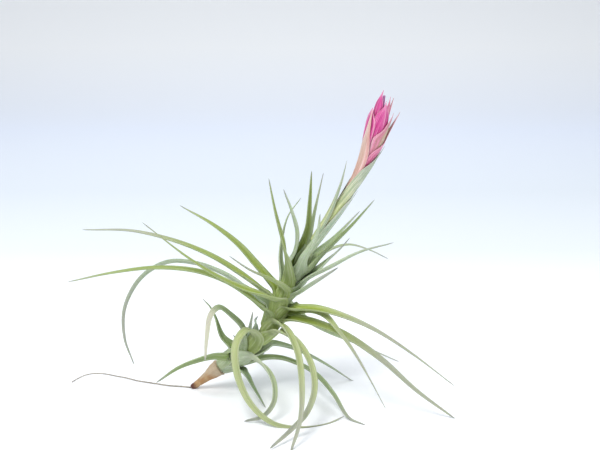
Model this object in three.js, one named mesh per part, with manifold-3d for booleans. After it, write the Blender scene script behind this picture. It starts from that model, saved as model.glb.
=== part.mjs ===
// An air plant in bud, Tillandsia aeranthos, out of any pot, lying as it grew on a flat surface.
// Millimetres, +Z up. The origin is the foot of the stem, where its old cut end rests on the surface.
// +X runs with the stem as it leans, and -Y is the side that its best leaves turn to.
import * as THREE from "three";
import { mergeVertices } from "three/addons/utils/BufferGeometryUtils.js";
import Module from "manifold-3d";

const wasm = await Module();
wasm.setup();

// Driving dimensions, in millimetres and degrees
const GAP = 0.3; // clear space between the ring that the leaves clasp and a leaf's foot
const STEM_SLACK = 0.2; // how much slimmer the stem is than that ring, so that its long facets clear them
const RELIEF = 0.15; // margin that an older leaf is cut to keep round a younger one; facets cut into it
const SHEATH = 9; // length of the part of a leaf that clasps the stem
const SHEATH_THICKNESS = 0.65;
const SHEATH_SPREAD = 0.26; // how far a sheath leans out, per millimetre up the stem
const SHEATH_WRAP = [58, 38]; // half the angle that a sheath clasps, at its foot and at its mouth
const BLADE_THICKNESS = [1.0, 0.7]; // at the sheath and at the tip
const BLADE_WRAP = [72, 50]; // half the angle of a blade's channel, at the sheath and at the tip
const TURN_SPAN = [12, 36]; // where along a leaf it turns about itself
const OPENING = [4, 14]; // where along a leaf its sheath opens into its blade
const PATH_SECTIONS = 2; // cross-sections for each point of a blade's path
const FLARE = [1.0, 8]; // extra half-width where a blade leaves its sheath, and how soon it fades
const TIP_HALF_WIDTH = 0.4;
const LEAST_BORE = 0.45; // least radius inside a channel, so that a narrow tip flattens out
const FACETS = 4; // facets across each face of a blade
const BRACT_THICKNESS = 0.66; // at the facets' edges; between them it is over 0.6
const BRACT_SECTIONS = 7;
const STEM_TOP = 164; // where the flower stem ends and the bud's petals begin
const BUD_TOP = 188;
const BUD_RADIUS = [[164, 0.9], [172, 1.6], [182, 1.3], [188, 0.5]];
const ROOT_RADIUS = 0.4;
const ROOT_SIDES = 6;
const ROOT_STEPS = 12;
const ROOT_PATH = [
  [-1.6, 0, 0.45], [-15, 3, 0.45], [-29, 8, 0.45], [-43, 15, 0.45], [-55, 19, 0.45], [-61, 16, 0.45],
  [-66, 7, 0.45],
];
const FOOT_START = -1; // station of the old cut end, a little before the axis's first point
const FOOT_LENGTH = 18; // bare old wood below the lowest leaf
const FLOOR_DEPTH = 5;
const FLOOR_WIDTH = 600;

// The stem: points along its axis, and its radius at stations measured up it
const STEM_AXIS = [
  [0, 0, 1], [15, -1, 13], [29, -2, 22], [41, 0, 37], [49, 2, 54],
  [60, 1, 75], [75, -1, 98], [89, -3, 124], [98, -3, 158],
];
const CORE_RADIUS = [
  [0, 3.3], [18, 3.3], [60, 3.0], [88, 2.3], [105, 1.7], [125, 1.2], [150, 0.9], [190, 0.8],
];
const FOOT_RADIUS = [[-1, 1.6], [4, 1.8], [9, 2.5], [13, 3.5], [18, 4.6]];
const STEM_SIDES = 12;
const STEM_STEP = 10; // distance between the stem's cross-sections
const FOOT_STEP = 3;
const BUD_STEP = 5;

// Colours, roughness
const TINTS = {
  young: [0x9db25a, 0.55],
  mature: [0x8fa66b, 0.6],
  silver: [0xa9b99a, 0.7],
  wood: [0xb5814f, 0.85],
  core: [0xb4bd93, 0.7],
  root: [0x8c8375, 0.8],
  greenBract: [0xa8b97c, 0.6],
  paleBract: [0xd9b9a6, 0.6],
  roseBract: [0xd98aa5, 0.55],
  pinkBract: [0xd6468c, 0.55],
  petal: [0x6a3fa0, 0.5],
};

// Each leaf: the station of its foot on the stem, the way it faces round the stem (0 to the front,
// 90 to the lower right, 180 to the back), the width of its blade, how late the blade narrows (1 is an
// even taper), how far it turns about itself, and the points that it passes after its sheath.
const LEAVES = [
  { name: "leaf_01_low_left", at: 18.5, facing: -55, width: 4.2, taper: 0.6, turn: 0, tint: "mature",
    path: [[18, -8, 21.5], [12, -12, 23], [4, -15, 22], [-6, -17, 18.5], [-16, -19, 12]] },
  { name: "leaf_02_low_front", at: 18.5, facing: 60, width: 3.2, taper: 0.75, turn: 0, tint: "silver",
    path: [[28, -9, 12], [32, -16, 8], [38, -24, 1]] },
  { name: "leaf_03_back_left", at: 19, facing: -130, width: 4.6, taper: 0.8, turn: 30, tint: "mature",
    path: [[15, 5.5, 27.2], [11.2, 9, 37.3], [8.5, 10.5, 42], [5.3, 12, 45]] },
  { name: "leaf_04_short_back", at: 23.5, facing: -165, width: 3.0, taper: 0.8, turn: 0, tint: "silver",
    path: [[24, 9, 21], [21, 13, 24]] },
  { name: "leaf_05_front_hook", at: 24, facing: 0, width: 4.8, taper: 0.45, turn: 40, tint: "silver",
    path: [[31, -13, 23], [38, -20, 21], [43, -30, 16], [43, -38, 9], [38, -43, 4], [30, -42, 1]] },
  { name: "leaf_06_small_back", at: 20, facing: 145, width: 3.0, taper: 0.8, turn: 0, tint: "silver",
    path: [[30, 8, 15], [36, 14, 14]] },
  { name: "leaf_07_low_right", at: 26, facing: 95, width: 4.6, taper: 0.45, turn: 0, tint: "mature",
    path: [[38, 1, 17], [46, 3, 16], [55, 0, 14], [64, -9, 12], [73, -26, 8], [80, -38, 1],
      [87, -44, 0]] },
  { name: "leaf_08_back_upright", at: 29, facing: -175, width: 3.2, taper: 0.8, turn: 0, tint: "silver",
    path: [[29, 11, 26], [29, 21, 26], [30, 34, 30]] },
  { name: "leaf_09_folded", at: 30, facing: -80, width: 4.6, taper: 0.6, turn: 0, tint: "silver",
    path: [[27, -5, 35], [21, -9, 44], [15, -11, 49], [11, -14, 46], [9, -17, 35], [8, -18, 24]] },
  { name: "leaf_10_right_rest", at: 33, facing: 110, width: 5.0, taper: 0.7, turn: 0, tint: "silver",
    path: [[41, 3, 24], [49, 5, 22], [59, 7, 17], [70, 9, 10], [84, 10, 0]] },
  { name: "leaf_11_front_loop", at: 36, facing: -25, width: 4.8, taper: 0.75, turn: 0, tint: "young",
    path: [[32, -10, 36], [28, -16, 38], [24, -23, 33], [25, -32, 22], [32, -42, 10], [43, -47, 2],
      [57, -48, 0], [69, -44, 0], [77, -38, 1]] },
  { name: "leaf_12_back_short", at: 37, facing: -145, width: 3.0, taper: 0.9, turn: 0, tint: "silver",
    path: [[33, 11, 32], [32, 19, 31], [33, 28, 30]] },
  { name: "leaf_13_front_arch", at: 43, facing: 35, width: 5.0, taper: 0.5, turn: 0, tint: "young",
    path: [[45, -12, 37], [51, -17, 36], [57, -23, 32], [62, -32, 25], [63, -42, 17], [59, -53, 10],
      [52, -60, 5], [43, -70.5, 1.2]] },
  { name: "leaf_14_front_drop", at: 48, facing: 15, width: 4.6, taper: 0.5, turn: 20, tint: "young",
    path: [[47, -12, 40], [51, -20, 38], [55, -31, 32], [57, -47, 21], [56, -62, 10], [52, -72, 0]] },
  { name: "leaf_15_left_sweep", at: 51, facing: -50, width: 5.6, taper: 0.8, turn: -20, tint: "young",
    path: [[36, -8, 49], [29, -13, 57], [19, -17, 65], [4, -22, 72], [-15, -27, 75], [-35, -32, 74],
      [-54, -36, 71]] },
  { name: "leaf_16_right_long", at: 51, facing: 65, width: 5.4, taper: 0.6, turn: 10, tint: "young",
    path: [[53, -8, 42], [64, -15, 42], [79, -22, 38], [96, -28, 28], [114, -33, 13],
      [132, -37, 0.5]] },
  { name: "leaf_17_left_droop", at: 53, facing: -120, width: 5.6, taper: 0.75, turn: 35, tint: "silver",
    path: [[34, 6, 49], [24, 12, 55], [12, 17, 60], [-1, 21, 63], [-15, 25, 62], [-30, 29, 52],
      [-40, 31, 34], [-41, 32, 16], [-37, 33, 1]] },
  { name: "leaf_18_back_rest", at: 53, facing: 165, width: 4.2, taper: 0.7, turn: 0, tint: "mature",
    path: [[46, 16, 40], [43, 38, 23], [35, 64, 0]] },
  { name: "leaf_19_right_dip", at: 55, facing: 105, width: 5.2, taper: 1.6, turn: 0, tint: "young",
    path: [[54, -2, 43], [61, -9, 47], [69, -18, 47], [76, -26, 41], [82, -31, 34], [90, -35, 21],
      [98, -37, 6]] },
  { name: "leaf_20_left_cross", at: 60, facing: -15, width: 5.6, taper: 1.3, turn: -45, tint: "young",
    path: [[43, -9, 53], [36, -13, 57], [26, -17, 62], [14, -22, 70], [2, -27, 80], [-18, -34, 99]] },
  { name: "leaf_21_right_arch", at: 58, facing: 50, width: 6.4, taper: 1.4, turn: 15, tint: "young",
    path: [[54, -9, 48], [64, -17, 50.5], [77, -23, 49], [93, -30, 44], [111, -35, 33.5],
      [131, -38, 18.5]] },
  { name: "leaf_22_left_reach", at: 59, facing: -75, width: 5.4, taper: 0.75, turn: -25, tint: "young",
    path: [[36, -1, 56], [25, -3, 65], [11, -6, 75], [-6, -8, 83], [-28, -8, 88.5], [-52, -6, 88.5]] },
  { name: "leaf_23_left_rise", at: 63, facing: -115, width: 6.0, taper: 0.95, turn: -20, tint: "young",
    path: [[39, 5, 60], [33, 6, 67], [24, 8, 77], [11, 10, 87], [-5, 12, 96]] },
  { name: "leaf_24_right_back", at: 57, facing: 135, width: 3.4, taper: 1, turn: 0, tint: "silver",
    path: [[54, 7, 42], [61, 8, 34.5], [72, 10, 27.5], [84, 11, 22], [108, 11, 11]] },
  { name: "leaf_25_back_level", at: 65, facing: 180, width: 4.0, taper: 0.7, turn: 0, tint: "mature",
    path: [[51, 18, 57], [55, 38, 61], [57, 58, 59]] },
  { name: "leaf_26_left_short", at: 66, facing: -15, width: 5.4, taper: 0.9, turn: 0, tint: "young",
    path: [[47, -9, 60], [41, -13, 65], [31, -17, 71], [22, -19, 78]] },
  { name: "leaf_27_right_short", at: 66, facing: 55, width: 4.4, taper: 0.6, turn: -30, tint: "silver",
    path: [[57, -8, 57], [64, -15, 64], [74, -22, 73]] },
  { name: "leaf_28_right_spread", at: 71, facing: 75, width: 5.2, taper: 0.8, turn: -35, tint: "silver",
    path: [[60, -6, 63], [71, -10, 70], [86, -10, 78], [102, -8, 82]] },
  { name: "leaf_29_back_curl", at: 70, facing: -125, width: 3.8, taper: 1.3, turn: 0, tint: "silver",
    path: [[46, 9, 69], [47, 13, 80], [50, 16, 90], [56, 19, 98]] },
  { name: "leaf_30_front_tall", at: 73, facing: -30, width: 5.2, taper: 0.8, turn: -70, tint: "young",
    path: [[50, -7, 71], [48, -10, 82], [44, -12, 99], [41, -12, 115]] },
  { name: "leaf_31_right_behind", at: 71, facing: 145, width: 2.6, taper: 0.8, turn: 0, tint: "silver",
    path: [[62, 14, 65], [72, 22, 70], [83, 28, 71], [94, 31, 67], [103, 33, 62]] },
  { name: "leaf_32_right_low", at: 75.5, facing: 105, width: 5.8, taper: 0.8, turn: -35, tint: "silver",
    path: [[64, 0, 65], [70, 2, 70], [77, 4, 76], [81, 6, 80]] },
  { name: "leaf_33_top_left", at: 77, facing: -105, width: 5.2, taper: 0.7, turn: 50, tint: "silver",
    path: [[53.5, 3, 74], [54.7, 3, 84], [51.8, 3, 96.2], [48.2, 4, 105.7]] },
  { name: "leaf_34_front_silver", at: 79.5, facing: 10, width: 5.0, taper: 0.9, turn: 0, tint: "silver",
    path: [[58, -8, 74], [62, -9, 81], [65, -9, 88], [66, -8, 96]] },
  { name: "leaf_35_back_right", at: 78, facing: 175, width: 3.2, taper: 0.8, turn: 0, tint: "silver",
    path: [[63, 13, 70], [74, 20, 77], [87, 26, 89]] },
  { name: "leaf_36_right_tall", at: 81, facing: 75, width: 5.8, taper: 0.8, turn: 25, tint: "mature",
    path: [[65, 4, 70], [73, 8, 77], [83, 12, 86], [94, 15, 98]] },
  { name: "leaf_37_right_tip", at: 82, facing: 130, width: 3.4, taper: 0.8, turn: 0, tint: "mature",
    path: [[66, 10, 71], [73, 16, 73]] },
  { name: "leaf_38_top_green", at: 83, facing: -140, width: 5.0, taper: 0.8, turn: 0, tint: "young",
    path: [[57, 7, 77], [60, 8, 86], [61, 9, 98], [62, 10, 114]] },
  { name: "leaf_39_top_thin", at: 87, facing: 175, width: 2.6, taper: 1.1, turn: 0, tint: "silver",
    path: [[61, 11, 80], [64, 15, 94], [68, 19, 111]] },
];

// How much of its widest wrap a bract still has on the way from its foot (0) to its tip (1)
const BRACT_OUTLINES = {
  boat: [[0, 1], [0.45, 0.95], [0.75, 0.6], [1, 0]],
  blunt: [[0, 1], [0.7, 0.9], [0.9, 0.65], [1, 0]],
  hooded: [[0, 1], [0.58, 1], [0.68, 0.52], [0.8, 0.36], [0.95, 0.2], [1, 0]],
  drawnOut: [[0, 1], [0.45, 0.9], [0.6, 0.62], [0.75, 0.22], [0.88, 0.16], [1, 0]],
  leafy: [[0, 1], [0.3, 0.7], [0.6, 0.3], [1, 0]],
};

// Each bract of the flower stem: the station of its foot, the way it faces at its foot and at its tip,
// its length, half the angle it wraps, and its distance from the axis at each quarter of its length.
const BRACTS = [
  { name: "bract_01_right_silver", at: 98, facing: [55, 70], length: 41, wrap: 70,
    radii: [2.8, 3.1, 3.4, 3.7], outline: "boat", tint: "silver" },
  { name: "bract_02_left_leafy", at: 104, facing: [-50, -80], length: 46.5, wrap: 60,
    radii: [3.0, 4.1, 6.4, 9.1], outline: "leafy", tint: "greenBract" },
  { name: "bract_03_back", at: 105, facing: [170, 165], length: 42, wrap: 60,
    radii: [2.9, 3.4, 4.2, 5.0], outline: "drawnOut", tint: "greenBract" },
  { name: "bract_04_right_green", at: 115, facing: [-25, 65], length: 45, wrap: 85,
    radii: [2.45, 2.8, 3.8, 5.6], outline: "boat", tint: "greenBract" },
  { name: "bract_05_back_left", at: 118, facing: [-150, -150], length: 34, wrap: 50,
    radii: [2.4, 2.8, 3.4, 4.4], outline: "drawnOut", tint: "greenBract" },
  { name: "bract_06_front_salmon", at: 131, facing: [-48, -42], length: 49, wrap: 55,
    radii: [2.55, 4.1, 6.0, 6.7], outline: "drawnOut", tint: "paleBract" },
  { name: "bract_07_right_edge", at: 132, facing: [95, 76], length: 31.5, wrap: 50,
    radii: [2.2, 3.1, 4.5, 6.6], outline: "leafy", tint: "greenBract" },
  { name: "bract_08_front_rose", at: 142, facing: [15, 66], length: 23.5, wrap: 65,
    radii: [2.3, 3.2, 4.6, 6.4], outline: "boat", tint: "roseBract" },
  { name: "bract_09_back_awn", at: 143, facing: [130, 100], length: 38, wrap: 50,
    radii: [3.4, 5.5, 7.4, 10.1], outline: "leafy", tint: "paleBract" },
  { name: "bract_10_right_beige", at: 150, facing: [62, 77], length: 30, wrap: 80,
    radii: [3.3, 5.0, 5.9, 6.6], outline: "hooded", tint: "paleBract" },
  { name: "bract_11_back_pink", at: 149, facing: [-160, -160], length: 32, wrap: 60,
    radii: [3.5, 5.4, 5.9, 5.4], outline: "boat", tint: "pinkBract" },
  { name: "bract_12_left_magenta", at: 152, facing: [-75, -62], length: 28.5, wrap: 58,
    radii: [3.4, 5.2, 5.5, 4.8], outline: "blunt", tint: "pinkBract" },
  { name: "bract_13_front_magenta", at: 156, facing: [14, 22], length: 29, wrap: 75,
    radii: [3.9, 5.0, 5.0, 3.5], outline: "boat", tint: "pinkBract" },
  { name: "bract_14_back_grey", at: 156, facing: [140, 115], length: 31, wrap: 50,
    radii: [3.4, 4.8, 5.2, 5.6], outline: "leafy", tint: "paleBract" },
  { name: "bract_15_right_pink", at: 158, facing: [62, 60], length: 29.5, wrap: 75,
    radii: [3.3, 4.2, 4.2, 3.2], outline: "boat", tint: "roseBract" },
  { name: "bract_16_top_magenta", at: 161, facing: [-50, -40], length: 29, wrap: 80,
    radii: [2.9, 3.5, 3.1, 1.8], outline: "boat", tint: "pinkBract" },
];

// A curve through points given as [x, y, z]
function curveThrough(points) {
  const places = points.map((p) => new THREE.Vector3(...p));
  return new THREE.CatmullRomCurve3(places, false, "centripetal");
}

// The value of a table of [station, value] rows at a station between them
function tableAt(rows, station) {
  const last = rows.length - 1;
  if (station >= rows[last][0]) return rows[last][1];
  const next = Math.max(1, rows.findIndex((row) => row[0] > station));
  const [fromStation, from] = rows[next - 1];
  const [toStation, to] = rows[next];
  return THREE.MathUtils.mapLinear(station, fromStation, toStation, from, to);
}

const stemCurve = curveThrough(STEM_AXIS);
const STEM_LENGTH = stemCurve.getLength();

// The stem's axis, front and right-hand directions at a station; past its end it runs on straight
function stemFrame(station) {
  const along = THREE.MathUtils.clamp(station / STEM_LENGTH, 0, 1);
  const tangent = stemCurve.getTangentAt(along);
  const centre = stemCurve.getPointAt(along);
  centre.addScaledVector(tangent, station - along * STEM_LENGTH);
  const front = new THREE.Vector3(0, -1, 0);
  front.addScaledVector(tangent, -front.dot(tangent)).normalize();
  const right = new THREE.Vector3().crossVectors(tangent, front);
  return { centre, tangent, front, right };
}

const radians = THREE.MathUtils.degToRad;

// The direction from the axis to one side of the stem, and the point at a radius that way
function outward(frame, facing) {
  const turn = radians(facing);
  return frame.front.clone().multiplyScalar(Math.cos(turn)).addScaledVector(frame.right, Math.sin(turn));
}

function besideStem(station, facing, radius) {
  const frame = stemFrame(station);
  return frame.centre.clone().addScaledVector(outward(frame, facing), radius);
}

// A closed band through cross-sections, each one an arc of even thickness that curls towards the
// section's inward side
function bandSolid(sections) {
  const positions = [];
  const index = [];
  const ring = 2 * (FACETS + 1);
  for (const { centre, inward, across, halfWidth, wrap, thickness } of sections) {
    const radius = halfWidth / Math.sin(wrap);
    const hub = centre.clone().addScaledVector(inward, radius);
    for (let i = 0; i < ring; i++) {
      const outerFace = i <= FACETS;
      const step = outerFace ? i : ring - 1 - i;
      const angle = wrap * ((2 * step) / FACETS - 1);
      const reach = radius + (outerFace ? 0.5 : -0.5) * thickness;
      const place = hub.clone();
      place.addScaledVector(inward, -reach * Math.cos(angle));
      place.addScaledVector(across, reach * Math.sin(angle));
      positions.push(place.x, place.y, place.z);
    }
  }
  // Both faces are split along the same diagonals, so that a thin twisted band never crosses itself.
  for (let k = 0; k + 1 < sections.length; k++) {
    for (let i = 0; i < ring; i++) {
      const a = k * ring + i;
      const b = k * ring + ((i + 1) % ring);
      const c = b + ring;
      const d = a + ring;
      if (i < FACETS) index.push(a, b, c, a, c, d);
      else index.push(a, b, d, b, c, d);
    }
  }
  const lastRing = (sections.length - 1) * ring;
  for (let i = 0; i < FACETS; i++) {
    const j = ring - 1 - i;
    index.push(i, j, i + 1, i + 1, j, j - 1);
    index.push(lastRing + i, lastRing + i + 1, lastRing + j, lastRing + i + 1, lastRing + j - 1, lastRing + j);
  }
  return solidFrom(new Float32Array(positions), new Uint32Array(index));
}

// A solid from its vertices and triangles, turned right side out
function solidFrom(vertProperties, triVerts) {
  const solid = new wasm.Manifold(new wasm.Mesh({ numProp: 3, vertProperties, triVerts }));
  if (solid.volume() > 0) return solid;
  for (let i = 0; i < triVerts.length; i += 3) {
    [triVerts[i + 1], triVerts[i + 2]] = [triVerts[i + 2], triVerts[i + 1]];
  }
  return new wasm.Manifold(new wasm.Mesh({ numProp: 3, vertProperties, triVerts }));
}

function solidFromGeometry(geometry) {
  const bare = geometry.clone();
  bare.deleteAttribute("normal");
  bare.deleteAttribute("uv");
  const merged = mergeVertices(bare, 1e-4);
  return solidFrom(merged.attributes.position.array, new Uint32Array(merged.index.array));
}

// The distance from the stem's axis at which a piece begins
function footRadius(at, thickness) {
  return tableAt(CORE_RADIUS, at) + GAP + thickness / 2;
}

// The middle line of a leaf: three points up its sheath, then the points of its blade
function leafCurve({ at, facing, path }) {
  const onStem = [0, SHEATH / 2, SHEATH].map((up) => {
    return besideStem(at + up, facing, footRadius(at, SHEATH_THICKNESS) + SHEATH_SPREAD * up).toArray();
  });
  return curveThrough([...onStem, ...path]);
}

// A leaf: its sheath clasps the stem, then its blade follows the row's path and tapers to a needle.
// Grown by a margin on every side, it is the space that an older leaf keeps clear of.
function leafSolid(row, margin = 0) {
  const { at, facing, turn, path } = row;
  const curve = leafCurve(row);
  const spans = curve.points.length - 1;
  const stops = [0, 1, 2];
  for (let k = 1; k <= path.length * PATH_SECTIONS; k++) stops.push(2 + k / PATH_SECTIONS);
  const centres = stops.map((stop) => curve.getPoint(stop / spans));
  const along = [0];
  for (let k = 1; k < centres.length; k++) along.push(along[k - 1] + centres[k].distanceTo(centres[k - 1]));
  const length = along[along.length - 1];

  let level = outward(stemFrame(at), facing).negate();
  const sections = centres.map((centre, k) => {
    const tangent = curve.getTangent(stops[k] / spans);
    level = level.clone().addScaledVector(tangent, -level.dot(tangent)).normalize();
    const inward = level.clone();
    inward.applyAxisAngle(tangent, radians(turn) * THREE.MathUtils.smoothstep(along[k], ...TURN_SPAN));
    const section = leafSection(k, along[k], length, row, margin);
    const opened = THREE.MathUtils.smoothstep(along[k], ...OPENING);
    centre.addScaledVector(inward, -opened * section.depth / 2);
    if (k === 0) centre.addScaledVector(tangent, -margin);
    if (k === centres.length - 1) centre.addScaledVector(tangent, margin);
    return { centre, inward, across: new THREE.Vector3().crossVectors(tangent, inward), ...section };
  });
  return bandSolid(sections);
}

// The arc of a leaf's section: concentric with the stem in its sheath, a narrowing channel after it.
// Its depth is how deep the channel is without the margin.
function leafSection(k, stop, length, { at, width, taper }, margin) {
  if (k < 2) {
    const radius = footRadius(at, SHEATH_THICKNESS) + SHEATH_SPREAD * stop;
    const wrap = radians(THREE.MathUtils.lerp(...SHEATH_WRAP, k / 2)) + margin / radius;
    return { halfWidth: radius * Math.sin(wrap), wrap, thickness: SHEATH_THICKNESS + 2 * margin, depth: 0 };
  }
  const out = Math.min(1, (stop - SHEATH) / (length - SHEATH));
  const thickness = THREE.MathUtils.lerp(...BLADE_THICKNESS, out);
  const flare = FLARE[0] * Math.exp(-Math.max(0, stop - SHEATH) / FLARE[1]);
  const halfWidth = THREE.MathUtils.lerp(TIP_HALF_WIDTH, width / 2, Math.pow(1 - out, taper)) + flare;
  const channel = Math.sin(radians(THREE.MathUtils.lerp(...BLADE_WRAP, out)));
  const wrap = Math.asin(Math.min(channel, halfWidth / (thickness / 2 + LEAST_BORE)));
  const depth = (halfWidth / Math.sin(wrap)) * (1 - Math.cos(wrap));
  return { halfWidth: halfWidth + margin, wrap, thickness: thickness + 2 * margin, depth };
}

// Where a bract runs and how far it wraps, at a part of the way from its foot (0) to its tip (1)
function bractAt({ at, facing, length, wrap, radii, outline }, part) {
  const quarters = [footRadius(at, BRACT_THICKNESS), ...radii];
  const reach = tableAt(quarters.map((radius, k) => [k / 4, radius]), part);
  const wide = tableAt(BRACT_OUTLINES[outline], part);
  const arc = THREE.MathUtils.lerp(Math.asin(TIP_HALF_WIDTH / reach), radians(wrap), wide);
  return { station: at + part * length, facing: THREE.MathUtils.lerp(...facing, part), reach, arc };
}

// A bract: it wraps the flower stem concentrically, swells to its belly and ends in a point
function bractSolid(row, margin = 0) {
  const sections = [];
  for (let k = 0; k <= BRACT_SECTIONS; k++) {
    const { station, facing, reach, arc } = bractAt(row, k / BRACT_SECTIONS);
    const end = k === 0 ? -margin : k === BRACT_SECTIONS ? margin : 0;
    const frame = stemFrame(station + end);
    const out = outward(frame, facing);
    const wrap = arc + margin / reach;
    sections.push({
      centre: frame.centre.clone().addScaledVector(out, reach),
      inward: out.clone().negate(),
      across: new THREE.Vector3().crossVectors(frame.tangent, out.clone().negate()),
      halfWidth: reach * Math.sin(wrap),
      wrap,
      thickness: BRACT_THICKNESS + 2 * margin,
    });
  }
  return bandSolid(sections);
}

// A round solid along the stem between two stations, with the radii of a table
function stemSolid(from, to, radii, stepLength) {
  const steps = Math.ceil((to - from) / stepLength);
  const positions = [];
  const index = [];
  for (let k = 0; k <= steps; k++) {
    const station = from + ((to - from) * k) / steps;
    for (let i = 0; i < STEM_SIDES; i++) {
      positions.push(...besideStem(station, (360 * i) / STEM_SIDES, tableAt(radii, station)).toArray());
    }
  }
  for (let k = 0; k < steps; k++) {
    for (let i = 0; i < STEM_SIDES; i++) {
      const a = k * STEM_SIDES + i;
      const b = k * STEM_SIDES + ((i + 1) % STEM_SIDES);
      index.push(a, b, b + STEM_SIDES, a, b + STEM_SIDES, a + STEM_SIDES);
    }
  }
  for (let i = 1; i + 1 < STEM_SIDES; i++) {
    index.push(0, i + 1, i);
    const top = steps * STEM_SIDES;
    index.push(top, top + i, top + i + 1);
  }
  return solidFrom(new Float32Array(positions), new Uint32Array(index));
}

const plant = new THREE.Group();
plant.name = "tillandsia";

function addPiece(name, solid, tint) {
  const mesh = solid.getMesh();
  const geometry = new THREE.BufferGeometry();
  geometry.setAttribute("position", new THREE.BufferAttribute(new Float32Array(mesh.vertProperties), 3));
  geometry.setIndex(new THREE.BufferAttribute(new Uint32Array(mesh.triVerts), 1));
  geometry.computeVertexNormals();
  const [color, roughness] = TINTS[tint];
  const material = new THREE.MeshStandardMaterial({ color, roughness, metalness: 0 });
  const piece = new THREE.Mesh(geometry, material);
  piece.name = name;
  plant.add(piece);
}

// What lies below the surface is cut away, which leaves each resting place a small flat
const belowFloor = solidFromGeometry(
  new THREE.BoxGeometry(FLOOR_WIDTH, FLOOR_WIDTH, FLOOR_DEPTH).translate(0, 0, -FLOOR_DEPTH / 2),
);

function largestBody(solid) {
  return solid.decompose().reduce((most, body) => (body.volume() > most.volume() ? body : most));
}

const footSolid = stemSolid(FOOT_START, FOOT_LENGTH - GAP, FOOT_RADIUS, FOOT_STEP);
addPiece("stem_base", largestBody(footSolid.subtract(belowFloor)), "wood");
const stemRadii = CORE_RADIUS.map(([station, radius]) => [station, radius - STEM_SLACK]);
addPiece("stem", stemSolid(FOOT_LENGTH, STEM_TOP, stemRadii, STEM_STEP), "core");
addPiece("petal_bud", stemSolid(STEM_TOP + GAP, BUD_TOP, BUD_RADIUS, BUD_STEP), "petal");

// The wiry root, a thin thread along the surface
const rootOutline = new THREE.Shape();
rootOutline.absarc(0, 0, ROOT_RADIUS, 0, 2 * Math.PI);
const rootGeometry = new THREE.ExtrudeGeometry(rootOutline, {
  steps: ROOT_STEPS, curveSegments: ROOT_SIDES / 2, bevelEnabled: false, extrudePath: curveThrough(ROOT_PATH),
});
addPiece("wiry_root", solidFromGeometry(rootGeometry), "root");

// The youngest piece keeps its whole form, and each older one is relieved round those it wraps.
const younger = [];
function addOldestLast(rows, makeSolid) {
  for (const row of [...rows].reverse()) {
    let solid = makeSolid(row).subtract(belowFloor);
    for (const space of younger) solid = solid.subtract(space);
    addPiece(row.name, largestBody(solid), row.tint);
    younger.push(makeSolid(row, RELIEF));
  }
}
addOldestLast(BRACTS, bractSolid);
addOldestLast(LEAVES, leafSolid);

export default plant;
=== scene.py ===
"""An air plant in bud, lying as it grew: its leaves, flower spike, stem and root, and a studio."""

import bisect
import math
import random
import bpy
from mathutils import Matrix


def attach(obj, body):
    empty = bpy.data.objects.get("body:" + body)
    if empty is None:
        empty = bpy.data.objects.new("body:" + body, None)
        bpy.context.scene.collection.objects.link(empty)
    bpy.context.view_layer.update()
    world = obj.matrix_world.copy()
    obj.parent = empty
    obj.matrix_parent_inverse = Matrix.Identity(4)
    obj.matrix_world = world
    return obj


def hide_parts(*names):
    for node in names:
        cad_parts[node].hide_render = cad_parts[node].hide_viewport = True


bl_info = {
    "name": "Air Plant in Bud",
    "version": (1, 0, 0),
    "blender": (4, 5, 0),
    "location": "View3D > Sidebar > Air Plant",
    "description": "Grows a leaning air plant with channelled leaves and a pointed flower spike",
    "category": "Add Mesh",
}

import bmesh
import bpy
from mathutils import Matrix, Vector, noise

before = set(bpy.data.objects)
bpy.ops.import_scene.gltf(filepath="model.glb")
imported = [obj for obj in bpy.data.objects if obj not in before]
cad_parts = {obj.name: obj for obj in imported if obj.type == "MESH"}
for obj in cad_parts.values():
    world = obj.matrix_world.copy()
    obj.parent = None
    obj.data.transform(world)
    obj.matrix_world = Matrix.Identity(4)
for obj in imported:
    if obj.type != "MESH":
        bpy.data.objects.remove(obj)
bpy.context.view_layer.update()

MM = 0.001
MERGED = 2e-6  # points nearer than this are one, in metres

# The stem: points along its axis in millimetres, and radii at stations measured up it
STEM_AXIS = [
    (0, 0, 1), (15, -1, 13), (29, -2, 22), (41, 0, 37), (49, 2, 54),
    (60, 1, 75), (75, -1, 98), (89, -3, 124), (98, -3, 158),
]
CORE_RADIUS = [  # the ring that leaves and bracts clasp
    (0, 3.3), (18, 3.3), (60, 3.0), (88, 2.3), (105, 1.7), (125, 1.2), (150, 0.9), (190, 0.8),
]
FOOT_RADIUS = [(-1, 1.6), (4, 1.8), (9, 2.5), (13, 3.5), (17.7, 4.6)]
BUD_RADIUS = [(164, 0.9), (172, 1.6), (182, 1.3), (188, 0.5)]
FOOT_SPAN = (-1, 17.7)
STEM_SPAN = (18, 164)
BUD_SPAN = (164.3, 188)
ROOT_PATH = [
    (-1.6, 0, 0.45), (-15, 3, 0.45), (-29, 8, 0.45), (-43, 15, 0.45), (-55, 19, 0.45),
    (-61, 16, 0.45), (-66, 7, 0.45),
]
ROOT_RADIUS = 0.36
ROOT_END = 0.6  # share of that radius that the root has left at its end
LEAST_HEIGHT = 0.04  # no point of a skin lies lower than this

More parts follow.
